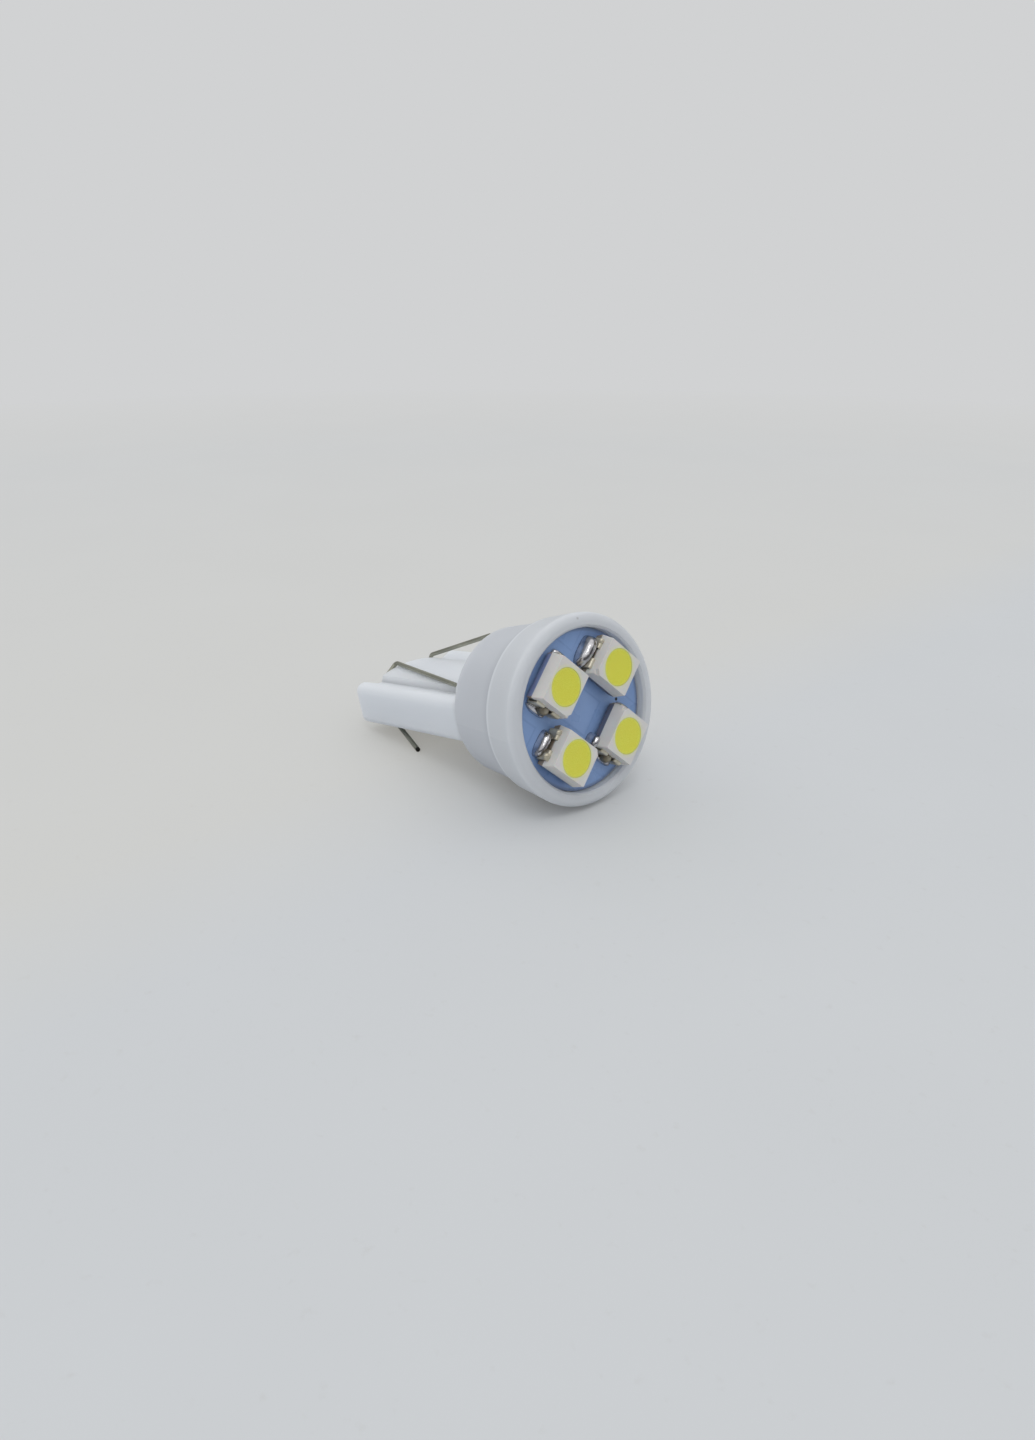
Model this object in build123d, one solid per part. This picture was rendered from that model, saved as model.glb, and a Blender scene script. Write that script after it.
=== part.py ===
from build123d import *
import math
import os

# Wedge base bulb with four light emitting diodes, lying as it rests on a table.
# Every piece is drawn in the bulb's own frame: Z runs along the bulb's axis from the
# blade's tail end (Z = 0) to the diodes, X runs along the blade's width and Y along its
# thickness. One resting transform then lays the whole bulb down.

# Blade, the flat part that the holder's slot grips: thick rails along both narrow sides,
# a thin web with a groove beside each rail, and a crowned middle
blade_width = 9.6
blade_thickness = 3.0
blade_edge_radius = 0.6
blade_end_radius = 0.2
blade_length = 12.3
web_thickness = 2.1
rail_width = 0.8
rail_slope_run = 1.1
groove_width = 0.35
middle_side_run = 0.2
middle_edge_thickness = 3.0
middle_thickness = 3.66
middle_half_width = blade_width / 2 - rail_width - rail_slope_run - groove_width - middle_side_run

# Diode packages
board_turn = -1.9
led_body_length = 3.1
led_body_width = 2.8
led_top_length = 2.95
led_top_width = 2.5
led_foot_length = 3.0
led_foot_width = 2.6
led_height = 1.57
led_parting_height = 0.75
led_corner_cut = 0.4
led_edge_radius = 0.08
window_diameter = 2.4
window_floor_diameter = 1.9
window_depth = 0.7
window_recess = 0.03

# Diode terminals and their solder
terminal_standoff = 0.2
terminal_span = led_body_length + 2 * terminal_standoff
terminal_width = 2.1
terminal_slot_width = 0.7
terminal_thickness = 0.15
terminal_bend_radius = 0.12
terminal_tab_depth = 0.25
terminal_foot_length = 0.75
solder_film = 0.05
fillet_length = 0.52
fillet_height = 0.7
fillet_width = 1.9
fillet_shift = 0.15
fillet_end_radius = 0.3
fillet_edge_height = 0.08
fillet_bulge_out = 0.4
fillet_bulge_up = 0.43

# Diodes stand in a square ring: each terminal end passes its neighbour's long side
led_gap = 0.05
led_circle_radius = led_body_width / 2 + terminal_span / 2 + led_gap

# Mouth of the head, where the circuit board sits and the diodes' corners must clear
led_mouth_gap = 0.35
led_corner_radius = math.hypot(led_circle_radius + led_body_width / 2, led_body_length / 2)
mouth_diameter = 2 * (led_corner_radius + led_mouth_gap)
mouth_chamfer = 0.15
board_recess = 0.67
board_thickness = 1.0
board_clearance = 0.05
cavity_ledge = 0.7
cavity_taper = 0.8
cavity_floor_height = 1.2

# Round head with its tapered back, sized from the mouth outwards
rim_wall = 1.0
drum_taper = 0.45
shoulder_step = 0.28
cone_taper = 0.52
rim_diameter = mouth_diameter + 2 * rim_wall
ridge_diameter = rim_diameter - 2 * drum_taper
shoulder_diameter = ridge_diameter - 2 * shoulder_step
cone_rear_diameter = shoulder_diameter - 2 * cone_taper
cone_length = 4.05
shoulder_height = 0.3
drum_length = 2.9
rim_edge_radius = 0.5
ridge_edge_radius = 0.12
cone_edge_radius = 0.15

# Contact wires: two poles, each with a pair that leaves the tail and folds over the blade
wire_diameter = 0.32
wire_hole_clearance = 0.05
wire_pair_half_pitch = 0.9
wire_hole_inset = 0.15
wire_half_pitch = middle_half_width - wire_hole_inset
wire_bend_radius = 0.3
wire_fold_reach = 0.38
wire_fold_gap = 0.03
wire_rest_gap = 0.02
upper_near_fold_x = 0.85
upper_near_tip_overhang = 0.27
upper_near_tip_z = 9.7
upper_far_fold_x = 2.45
upper_far_tip_x = 2.7
upper_far_tip_z = 7.55
upper_far_tip_rise = 3.52
lower_near_fold_x = 2.2
lower_near_tip_x = 4.1
lower_near_tip_z = 5.6
lower_far_fold_x = 2.4
lower_far_tip_x = 3.2
lower_far_tip_z = 7.4

# Solder cones that hold the wires to the board
wire_solder_width = 1.3
wire_solder_tip_width = 0.7
wire_solder_height = 0.8

# Dropping resistors under the board, one on each side of the wires' solder
resistor_length = 3.2
resistor_width = 1.6
resistor_thickness = 0.55
resistor_cap_length = 0.5
resistor_cap_wrap = 0.03
resistor_gap = 0.3
resistor_solder_length = 0.4
resistor_offset = wire_pair_half_pitch + wire_solder_width / 2 + resistor_gap + resistor_width / 2

# How the bulb lies: the diodes' face looks up by this much, and the blade leans
rest_tilt = 12.0
rest_lean = 3.5

# Cutters run this far past the faces that they open
cutter_margin = 1.0

# Heights along the axis and other sizes that follow from the values above
cone_base_z = blade_length
shoulder_z = cone_base_z + cone_length
ridge_z = shoulder_z + shoulder_height
rim_z = ridge_z + drum_length
board_top_z = rim_z - board_recess
board_bottom_z = board_top_z - board_thickness
cavity_floor_z = cone_base_z + cavity_floor_height
cavity_top_radius = mouth_diameter / 2 - cavity_ledge
body_bottom = terminal_thickness + solder_film
crown_z = led_height + solder_film
wire_fold_height = middle_thickness / 2 + wire_diameter / 2 + wire_fold_gap
wire_rest_height = middle_edge_thickness / 2 + wire_diameter / 2 + wire_rest_gap
standing = (Align.CENTER, Align.CENTER, Align.MIN)

tilt = math.radians(rest_tilt)
lean = math.radians(rest_lean)
lay_down = Plane(origin=(0, 0, 0), x_dir=(0, -1, 0), z_dir=(math.cos(tilt), 0, math.sin(tilt))).location
resting = lay_down * Rotation(0, 0, rest_lean)
down = (math.sin(lean) * math.cos(tilt), math.cos(lean) * math.cos(tilt), -math.sin(tilt))


def ring_depth(diameter, height, edge_radius):
    """How far below the tail centre a rounded ring of the head reaches."""
    return (diameter / 2 - edge_radius) * math.hypot(down[0], down[1]) + height * down[2] + edge_radius


def floor_depth():
    """How far below the tail centre the table lies: the head's lowest ring touches it."""
    return max(
        ring_depth(cone_rear_diameter, cone_base_z + cone_edge_radius, cone_edge_radius),
        ring_depth(ridge_diameter, ridge_z, ridge_edge_radius),
        ring_depth(rim_diameter, rim_z - rim_edge_radius, rim_edge_radius),
    )


def blade_section():
    """Outline across the blade: crowned middle, a groove on each side, rounded rails."""
    side_x = blade_width / 2
    rail_x = side_x - rail_width
    groove_x = rail_x - rail_slope_run
    foot_x = groove_x - groove_width
    quarter = [
        (middle_half_width, middle_edge_thickness / 2),
        (foot_x, web_thickness / 2),
        (groove_x, web_thickness / 2),
        (rail_x, blade_thickness / 2),
        (side_x, blade_thickness / 2),
    ]
    near = [(x, -y) for x, y in quarter] + [(x, y) for x, y in reversed(quarter)]
    far = [(-x, y) for x, y in quarter] + [(-x, -y) for x, y in reversed(quarter)]
    upper = ThreePointArc(far[-1], (0, -middle_thickness / 2), near[0])
    lower = ThreePointArc(near[-1], (0, middle_thickness / 2), far[0])
    face = make_face(upper + Polyline(*near) + lower + Polyline(*far))
    corners = [v for v in face.vertices() if abs(abs(v.X) - side_x) < 0.01]
    return fillet(corners, blade_edge_radius)


def blade():
    """Flat blade with its rails and crowned middle, running on into the head."""
    body = extrude(blade_section(), blade_length + cavity_floor_height / 2)
    tail = body.edges().group_by(Axis.Z)[0]
    return fillet(tail, blade_end_radius)


def head():
    """Turned outline of the head: tapered back, shoulder, drum and rim."""
    outline = Polyline(
        (0, cone_base_z),
        (cone_rear_diameter / 2, cone_base_z),
        (shoulder_diameter / 2, shoulder_z),
        (ridge_diameter / 2, ridge_z),
        (rim_diameter / 2, rim_z),
        (0, rim_z),
        close=True,
    )
    body = revolve(Plane.XZ * make_face(outline), Axis.Z)
    rings = body.edges().filter_by(GeomType.CIRCLE).sort_by(Axis.Z)
    body = fillet(rings[-1], rim_edge_radius)
    rings = body.edges().filter_by(GeomType.CIRCLE).sort_by(Axis.Z)
    body = fillet(rings[0], cone_edge_radius)
    rings = body.edges().filter_by(GeomType.CIRCLE)
    at_ridge = [e for e in rings if abs(e.center().Z - ridge_z) < 0.01]
    ridge = [e for e in at_ridge if abs(e.radius - ridge_diameter / 2) < 0.01]
    return fillet(ridge, ridge_edge_radius)


def wire_places():
    """Centres of the four wire holes across the blade, as (x, y)."""
    return [(x, y) for x in (wire_half_pitch, -wire_half_pitch)
            for y in (-wire_pair_half_pitch, wire_pair_half_pitch)]


def base_housing():
    """One moulding: blade, head, mouth with the board's seat, cavity and wire holes."""
    body = blade() + head()
    mouth = Pos(0, 0, board_bottom_z) * Cylinder(
        mouth_diameter / 2, rim_z - board_bottom_z + cutter_margin, align=standing)
    lead_in = Pos(0, 0, rim_z - mouth_chamfer) * Cone(
        mouth_diameter / 2, mouth_diameter / 2 + 2 * mouth_chamfer, 2 * mouth_chamfer, align=standing)
    cavity = Pos(0, 0, cavity_floor_z) * Cone(
        cavity_top_radius - cavity_taper, cavity_top_radius, board_bottom_z - cavity_floor_z, align=standing)
    body = body - mouth - lead_in - cavity
    hole_radius = wire_diameter / 2 + wire_hole_clearance
    for x, y in wire_places():
        body -= Pos(x, y, -cutter_margin) * Cylinder(
            hole_radius, cavity_floor_z + 2 * cutter_margin, align=standing)
    return body


def circuit_board():
    """Round board, resting on the ledge inside the mouth."""
    radius = mouth_diameter / 2 - board_clearance
    return Pos(0, 0, board_bottom_z) * Cylinder(radius, board_thickness, align=standing)


def led_place(number):
    """Where diode 1 to 4 stands: its long side lies across the board's radius."""
    turn = board_turn - 45 - 90 * (number - 1)
    return Rotation(0, 0, turn) * Pos(led_circle_radius, 0, board_top_z) * Rotation(0, 0, 90)


def prong_places():
    """Middles of a terminal's two prongs across its width."""
    offset = (terminal_width + terminal_slot_width) / 4
    return (-offset, offset)


def led_package():
    """White package: two tapered halves meet at the parting line; one corner is cut."""
    foot = Pos(0, 0, body_bottom) * Rectangle(led_foot_length, led_foot_width)
    middle = Pos(0, 0, led_parting_height) * Rectangle(led_body_length, led_body_width)
    crown = Pos(0, 0, crown_z) * Rectangle(led_top_length, led_top_width)
    body = loft([foot.face(), middle.face()], ruled=True) + loft([middle.face(), crown.face()], ruled=True)
    upper = [e for e in body.edges() if led_parting_height < e.center().Z < crown_z]
    upright = [e for e in upper if e.length < led_height and abs(e.tangent_at(0.5).Z) > 0.5]
    body = fillet(upright, led_edge_radius)
    cutter = Pos(led_top_length / 2, led_top_width / 2, crown_z) * Rotation(0, 0, 45) * Box(
        led_corner_cut, led_body_length, led_corner_cut)
    cup = Pos(0, 0, crown_z - window_depth) * Cone(
        window_floor_diameter / 2, window_diameter / 2, window_depth, align=standing)
    body = body - cutter - cup
    prong_width = (terminal_width - terminal_slot_width) / 2
    for side in (1, -1):
        tab_x = side * (terminal_span / 2 - terminal_thickness - terminal_tab_depth / 2)
        for prong_y in prong_places():
            body -= Pos(tab_x, prong_y, led_parting_height) * Box(
                terminal_tab_depth, prong_width, terminal_thickness)
    return body


def led_window():
    """Yellow resin that fills the package's cup."""
    slope = (window_diameter - window_floor_diameter) / 2 / window_depth
    depth = window_depth - window_recess
    return Pos(0, 0, crown_z - window_depth) * Cone(
        window_floor_diameter / 2, window_floor_diameter / 2 + slope * depth, depth, align=standing)


def led_terminal(side):
    """Bent metal strip: two prongs in the package's end, legs down it and a foot below."""
    outer_x = terminal_span / 2
    leg_top = led_parting_height + terminal_thickness / 2
    tab = Box(terminal_tab_depth + terminal_thickness, terminal_width, terminal_thickness,
              align=(Align.MAX, Align.CENTER, Align.MAX))
    leg = Box(terminal_thickness, terminal_width, leg_top - solder_film,
              align=(Align.MAX, Align.CENTER, Align.MAX))
    foot = Box(terminal_foot_length, terminal_width, terminal_thickness,
               align=(Align.MAX, Align.CENTER, Align.MIN))
    strip = Pos(outer_x, 0, leg_top) * (tab + leg) + Pos(outer_x, 0, solder_film) * foot
    bends = strip.edges().filter_by(Axis.Y).group_by(Axis.X)[-1]
    strip = fillet(bends, terminal_bend_radius)
    slot = Pos(outer_x, 0, body_bottom) * Box(
        2 * terminal_foot_length, terminal_slot_width, leg_top, align=standing)
    strip -= slot
    if side < 0:
        strip = Rotation(0, 0, 180) * strip
    return strip


def solder_fillet(side):
    """Solder that climbs the terminal's leg; it leans towards the board's rim."""
    start = terminal_span / 2
    toe = (start + fillet_length, fillet_edge_height)
    bulge = (start + fillet_bulge_out, fillet_bulge_up)
    top = (start, fillet_height)
    outline = Polyline((start, 0), (start + fillet_length, 0), toe) + ThreePointArc(toe, bulge, top)
    face = make_face(outline + Line(top, (start, 0)))
    blob = extrude(Plane.XZ * face, fillet_width / 2, both=True)
    corners = [e for e in blob.edges().filter_by(GeomType.CIRCLE)
               if abs(abs(e.center().Y) - fillet_width / 2) < 0.01]
    blob = fillet(corners, fillet_end_radius)
    if side < 0:
        blob = Rotation(0, 0, 180) * blob
    return Pos(0, -fillet_shift, 0) * blob


def resistor(side):
    """Chip resistor under the board with its wrapped end caps."""
    core = Box(resistor_length - 2 * resistor_cap_wrap, resistor_width - 2 * resistor_cap_wrap,
               resistor_thickness - 2 * resistor_cap_wrap)
    cap = Box(resistor_cap_length, resistor_width, resistor_thickness)
    cap_x = (resistor_length - resistor_cap_length) / 2
    chip = core + Pos(cap_x, 0, 0) * cap + Pos(-cap_x, 0, 0) * cap
    height = board_bottom_z - solder_film - resistor_thickness / 2
    return Pos(0, side * resistor_offset, height) * chip


def resistor_solder(side, end):
    """Solder wedge at one end cap of a resistor."""
    start = resistor_length / 2
    face = make_face(Polyline(
        (start, 0), (start + resistor_solder_length, 0), (start, -resistor_thickness), close=True))
    wedge = extrude(Plane.XZ * face, resistor_width / 2, both=True)
    if end < 0:
        wedge = Rotation(0, 0, 180) * wedge
    return Pos(0, side * resistor_offset, board_bottom_z) * wedge


def wire_solder(side):
    """Solder cone under the board that joins the two wires of one pole."""
    x = side * wire_half_pitch
    pitch = 2 * wire_pair_half_pitch
    low = Pos(x, 0, board_bottom_z - wire_solder_height) * SlotCenterToCenter(
        pitch, wire_solder_tip_width, rotation=90)
    high = Pos(x, 0, board_bottom_z) * SlotCenterToCenter(pitch, wire_solder_width, rotation=90)
    cone = loft([low.face(), high.face()])
    for y in (-wire_pair_half_pitch, wire_pair_half_pitch):
        cone -= Pos(x, y, board_bottom_z) * Cylinder(wire_diameter / 2, 2 * wire_solder_height)
    return cone


def on_table(x, z):
    """Y at which a wire's centre line at (x, z) lies one wire radius above the table."""
    depth = floor_depth() - wire_diameter / 2
    return (depth - x * down[0] - z * down[2]) / down[1]


def contact_wire(side, level, fold_x, fold_height, tip):
    """Wire from the board through the blade, folded over the tail and back to its tip."""
    x = side * wire_half_pitch
    y = level * wire_pair_half_pitch
    points = [
        (x, y, board_bottom_z),
        (x, y, -wire_fold_reach),
        (fold_x, level * fold_height, -wire_fold_gap),
        tip,
    ]
    path = FilletPolyline(*points, radius=wire_bend_radius)
    section = Plane(origin=points[0], z_dir=path % 0) * Circle(wire_diameter / 2)
    return sweep(section, path=path)


def upper_near_wire():
    """Laid back down onto the blade's middle."""
    tip = (middle_half_width + upper_near_tip_overhang, -wire_rest_height, upper_near_tip_z)
    return contact_wire(1, -1, upper_near_fold_x, wire_fold_height, tip)


def upper_far_wire():
    """Sprung away from the blade."""
    tip = (-upper_far_tip_x, -upper_far_tip_rise, upper_far_tip_z)
    return contact_wire(-1, -1, -upper_far_fold_x, wire_rest_height, tip)


def lower_near_wire():
    """Splayed out and down to the table."""
    tip = (lower_near_tip_x, on_table(lower_near_tip_x, lower_near_tip_z), lower_near_tip_z)
    return contact_wire(1, 1, lower_near_fold_x, wire_fold_height, tip)


def lower_far_wire():
    """Splayed out and down to the table; its tip also carries the bulb."""
    tip = (-lower_far_tip_x, on_table(-lower_far_tip_x, lower_far_tip_z), lower_far_tip_z)
    return contact_wire(-1, 1, -lower_far_fold_x, wire_fold_height, tip)


def all_pieces():
    """Every piece by its node name, in the bulb's own frame."""
    pieces = {"base_housing": base_housing(), "circuit_board": circuit_board()}
    package = led_package()
    window = led_window()
    for number in (1, 2, 3, 4):
        place = led_place(number)
        pieces[f"led_{number}_package"] = place * package
        pieces[f"led_{number}_window"] = place * window
        for side, name in ((1, "left"), (-1, "right")):
            pieces[f"led_{number}_{name}_terminal"] = place * led_terminal(side)
            pieces[f"led_{number}_{name}_solder"] = place * solder_fillet(side)
    pieces["upper_near_contact_wire"] = upper_near_wire()
    pieces["upper_far_contact_wire"] = upper_far_wire()
    pieces["lower_near_contact_wire"] = lower_near_wire()
    pieces["lower_far_contact_wire"] = lower_far_wire()
    pieces["near_wire_solder_joint"] = wire_solder(1)
    pieces["far_wire_solder_joint"] = wire_solder(-1)
    for side, name in ((1, "lower"), (-1, "upper")):
        pieces[f"{name}_resistor"] = resistor(side)
        for end, end_name in ((1, "near"), (-1, "far")):
            pieces[f"{name}_resistor_{end_name}_solder"] = resistor_solder(side, end)
    return pieces


def laid_down(pieces):
    """Lays the bulb on the table, with the bounding box's bottom centre at the origin."""
    placed = {name: resting * piece for name, piece in pieces.items()}
    box = Compound(children=[Compound(p.solids()) for p in placed.values()]).bounding_box()
    shift = Pos(-(box.min.X + box.max.X) / 2, -(box.min.Y + box.max.Y) / 2, -box.min.Z)
    return {name: shift * piece for name, piece in placed.items()}


os.makedirs("parts", exist_ok=True)
for node, piece in laid_down(all_pieces()).items():
    solid = piece.solids()[0]
    export_step(solid, f"parts/{node}.step")
    print(node, round(solid.volume, 3), "mm3", len(piece.solids()), "solid")
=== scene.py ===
# %% [markdown]
# # Wedge base bulb with four diodes
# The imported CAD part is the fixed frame: its housing, board, packages, leads and wires stay where they
# are. This lesson dresses it. Materials are built from nodes, and what a lathe or a mould can't make,
# such as solder that froze where it flowed and resin that crept up its cup, is computed as surfaces on
# grids.

# %% Load the frame
import math
import bpy
import numpy as np
from mathutils import Matrix, Vector


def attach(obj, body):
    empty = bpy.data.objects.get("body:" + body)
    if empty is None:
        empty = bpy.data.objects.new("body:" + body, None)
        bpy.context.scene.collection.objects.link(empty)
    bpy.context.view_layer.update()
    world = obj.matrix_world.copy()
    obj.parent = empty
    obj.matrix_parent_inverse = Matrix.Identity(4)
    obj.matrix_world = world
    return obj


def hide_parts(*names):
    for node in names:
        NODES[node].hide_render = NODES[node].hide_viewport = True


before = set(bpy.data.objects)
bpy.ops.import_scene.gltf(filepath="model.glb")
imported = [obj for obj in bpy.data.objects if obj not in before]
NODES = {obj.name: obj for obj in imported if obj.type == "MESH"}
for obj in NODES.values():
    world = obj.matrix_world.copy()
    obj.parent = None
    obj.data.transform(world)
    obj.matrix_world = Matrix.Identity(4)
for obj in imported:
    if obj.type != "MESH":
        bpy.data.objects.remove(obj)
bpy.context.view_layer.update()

MM = 0.001

# %% [markdown]
# ## The bulb's own axes
# The bulb lies on its side, so its pieces are easiest to describe along its own axes: Z runs from the
# blade to the diodes, X across the blade and Y through it. The same two angles that lay the CAD model
# down give these axes here, and the board's face is measured on the board itself.

# %% Axes of the bulb and places of the diodes
REST_TILT = math.radians(12.0)
REST_LEAN = math.radians(3.5)
BOARD_FACE = 18.88          # height of the board's face above the blade's tail end, mm
BOARD_TURN = math.radians(-1.9)
DIODE_CIRCLE = 3.2          # distance of each diode from the axis, mm
PACKAGE_TOP = 1.62          # height of a package's face above the board, mm
PARTING = 0.75              # height of a package's parting line above the board, mm
HALF_LENGTH, HALF_WIDTH = 1.55, 1.40    # of a package, mm
WINDOW_RADIUS = 1.20        # radius of a package's round window, mm
LEG_FACE = 1.75             # outer face of a diode's lead, from the diode's middle, mm

lay_down = np.array([[0, math.sin(REST_TILT), math.cos(REST_TILT)],
                     [-1, 0, 0],
                     [0, -math.cos(REST_TILT), math.sin(REST_TILT)]])
lean = np.array([[math.cos(REST_LEAN), -math.sin(REST_LEAN), 0],
                 [math.sin(REST_LEAN), math.cos(REST_LEAN), 0],
                 [0, 0, 1]])
BULB = lay_down @ lean      # columns: the bulb's X, Y and Z in the row frame


def vertices_of(node):
    """The vertices of a CAD node as an array, in the row frame."""
    mesh = NODES[node].data
    co = np.empty(len(mesh.vertices) * 3)
    mesh.vertices.foreach_get("co", co)
    return co.reshape(-1, 3)


board_points = vertices_of("circuit_board") @ BULB
board_low, board_high = board_points.min(0), board_points.max(0)
board_middle = (board_low + board_high) / 2
face_centre = BULB @ np.array([board_middle[0], board_middle[1], board_high[2]])
TAIL = face_centre - BULB[:, 2] * BOARD_FACE * MM


def to_row(points):
    """Points in the bulb's axes, in mm, as points in the row frame, in metres: p -> TAIL + BULB p."""
    return TAIL + MM * (np.asarray(points, float) @ BULB.T)


def diode_points(number, points):
    """Points around diode 1 to 4 in the bulb's axes. Its X runs along its long side, its Y towards the
    axis and its Z up from the board's face: turn by the diode's angle plus 90 degrees, then shift to the
    circle."""
    angle = BOARD_TURN - math.radians(45 + 90 * (number - 1))
    c, s = math.cos(angle + math.pi / 2), math.sin(angle + math.pi / 2)
    turn = np.array([[c, -s, 0], [s, c, 0], [0, 0, 1]])
    centre = np.array([DIODE_CIRCLE * math.cos(angle), DIODE_CIRCLE * math.sin(angle), BOARD_FACE])
    return centre + np.asarray(points, float) @ turn.T


print("board face at", np.round(face_centre / MM, 3), "mm, tail at", np.round(TAIL / MM, 3), "mm")

# %% [markdown]
# ## Camera
# The photograph was fitted with a pinhole camera close to the bulb, 1035 by 1440 pixels, so the lens is
# wide for the sensor's long side. It looks down by 24 degrees from the near side.

# %% Place the camera
CAMERA_FROM_TAIL = np.array([58.801, -40.326, 28.570])     # mm, in the row frame
CAMERA_RIGHT = Vector((0.6567, 0.7542, 0.0))               # the picture's right
CAMERA_BACK = Vector((0.6889, -0.5998, 0.4070))            # from the bulb towards the camera
SENSOR, LENS = 36.0, 24.73                                 # mm
camera_data = bpy.data.cameras.new("photo_camera")
camera_data.sensor_width = SENSOR
camera_data.lens = LENS
camera_data.clip_start = 0.001
camera_data.clip_end = 20.0
camera = bpy.data.objects.new("photo_camera", camera_data)
bpy.context.scene.collection.objects.link(camera)
back = CAMERA_BACK.normalized()
up = back.cross(CAMERA_RIGHT).normalized()
right = up.cross(back)
camera.matrix_world = Matrix(((right.x, up.x, back.x, 0), (right.y, up.y, back.y, 0),
                              (right.z, up.z, back.z, 0), (0, 0, 0, 1)))
camera.location = Vector(TAIL + CAMERA_FROM_TAIL * MM)
bpy.context.scene.camera = camera
bpy.context.scene.view_settings.view_transform = "Standard"
print("camera at", [round(v, 4) for v in camera.location])

# %% [markdown]
# ## Shader building blocks
# Every material reads object coordinates, which are the row frame in metres. One shared group turns them
# into the bulb's own axes in millimetres, so that grain, gaps and stains are described at their real size.


# %% Node helpers and the shared groups
class Tree:
    """Adds nodes to a node tree. Inputs are given by socket name or index: a value, a colour, or another
    node's output socket, which is linked."""

    def __init__(self, tree):
        self.tree = tree

    def add(self, kind, inputs=None, **settings):
        node = self.tree.nodes.new(kind)
        for key, value in settings.items():
            setattr(node, key, value)
        for key, value in (inputs or {}).items():
            if isinstance(value, bpy.types.NodeSocket):
                self.tree.links.new(value, node.inputs[key])
            else:
                node.inputs[key].default_value = value
        return node

    def math(self, operation, a, b=0.0):
        return self.add("ShaderNodeMath", {0: a, 1: b}, operation=operation).outputs[0]

    def scaled(self, place, factors):
        return self.add("ShaderNodeVectorMath", {0: place, 1: factors}, operation="MULTIPLY").outputs[0]

    def split(self, place):
        return self.add("ShaderNodeSeparateXYZ", {0: place}).outputs

    def distance(self, place, centre=(0, 0, 0)):
        return self.add("ShaderNodeVectorMath", {0: place, 1: centre}, operation="DISTANCE").outputs["Value"]

    def noise(self, place, scale, detail, roughness=0.5):
        return self.add("ShaderNodeTexNoise", {"Vector": place, "Scale": scale, "Detail": detail,
                                               "Roughness": roughness}).outputs["Fac"]

    def ramp(self, value, low, high, to_low=0.0, to_high=1.0):
        return self.add("ShaderNodeMapRange", {"Value": value, "From Min": low, "From Max": high,
                                               "To Min": to_low, "To Max": to_high}).outputs["Result"]

    def mix(self, share, a, b):
        node = self.add("ShaderNodeMix", data_type="RGBA", clamp_factor=True)
        for key, value in ((0, share), (6, a), (7, b)):
            if isinstance(value, bpy.types.NodeSocket):
                self.tree.links.new(value, node.inputs[key])
            else:
                node.inputs[key].default_value = value
        return node.outputs[2]

    def tint(self, base, mask, strength, tone):
        """base turned towards tone where mask is 1, by strength at most."""
        return self.mix(self.math("MULTIPLY", mask, strength), base, tone)

    def bump(self, height, strength, distance):
        return self.add("ShaderNodeBump", {"Height": height, "Strength": strength,
                                           "Distance": distance}).outputs["Normal"]


def colour(red, green, blue):
    """A colour as it is seen on screen, 0 to 255, as the linear values that a shader takes."""
    srgb = np.array([red, green, blue]) / 255
    linear = np.where(srgb <= 0.04045, srgb / 12.92, ((srgb + 0.055) / 1.055) ** 2.4)
    return (*[float(v) for v in linear], 1.0)


def new_group(name, inputs, outputs):
    """A node group with named sockets: {"Name": (socket type, default)} in, {"Name": socket type} out."""
    group = bpy.data.node_groups.new(name, "ShaderNodeTree")
    for label, (kind, default) in inputs.items():
        socket = group.interface.new_socket(label, in_out="INPUT", socket_type=kind)
        if default is not None:
            socket.default_value = default
    for label, kind in outputs.items():
        group.interface.new_socket(label, in_out="OUTPUT", socket_type=kind)
    tree = Tree(group)
    return group, tree, tree.add("NodeGroupInput"), tree.add("NodeGroupOutput")


def make_bulb_space():
    """Object coordinates in metres as the bulb's own axes in mm: p = BULB^T r / MM - BULB^T TAIL / MM."""
    group, tree, inside, out = new_group("bulb_space", {"Object": ("NodeSocketVector", None)},
                                         {"Place": "NodeSocketVector"})
    turn = Matrix(BULB.T.tolist()).to_euler("XYZ")
    offset = -(BULB.T @ TAIL) / MM
    mapping = tree.add("ShaderNodeMapping", {"Vector": inside.outputs["Object"], "Location": tuple(offset),
                                             "Rotation": tuple(turn), "Scale": (1 / MM,) * 3},
                       vector_type="POINT")
    tree.tree.links.new(mapping.outputs[0], out.inputs["Place"])
    return group


def make_surface_grain():
    """Grain of a moulded or drawn surface: a cloud for slow changes and a fine one for the bump."""
    group, tree, inside, out = new_group(
        "surface_grain",
        {"Place": ("NodeSocketVector", None), "Cloud Size": ("NodeSocketFloat", 1.0),
         "Grain Size": ("NodeSocketFloat", 0.1), "Stretch": ("NodeSocketVector", (1, 1, 1))},
        {"Cloud": "NodeSocketFloat", "Grain": "NodeSocketFloat"})
    place = tree.scaled(inside.outputs["Place"], inside.outputs["Stretch"])
    for size, label, detail in (("Cloud Size", "Cloud", 2.0), ("Grain Size", "Grain", 4.0)):
        noise = tree.noise(place, tree.math("DIVIDE", 1.0, inside.outputs[size]), detail)
        tree.tree.links.new(noise, out.inputs[label])
    return group


BULB_SPACE = make_bulb_space()
SURFACE_GRAIN = make_surface_grain()
print("shared groups:", BULB_SPACE.name, "and", SURFACE_GRAIN.name)


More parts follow.
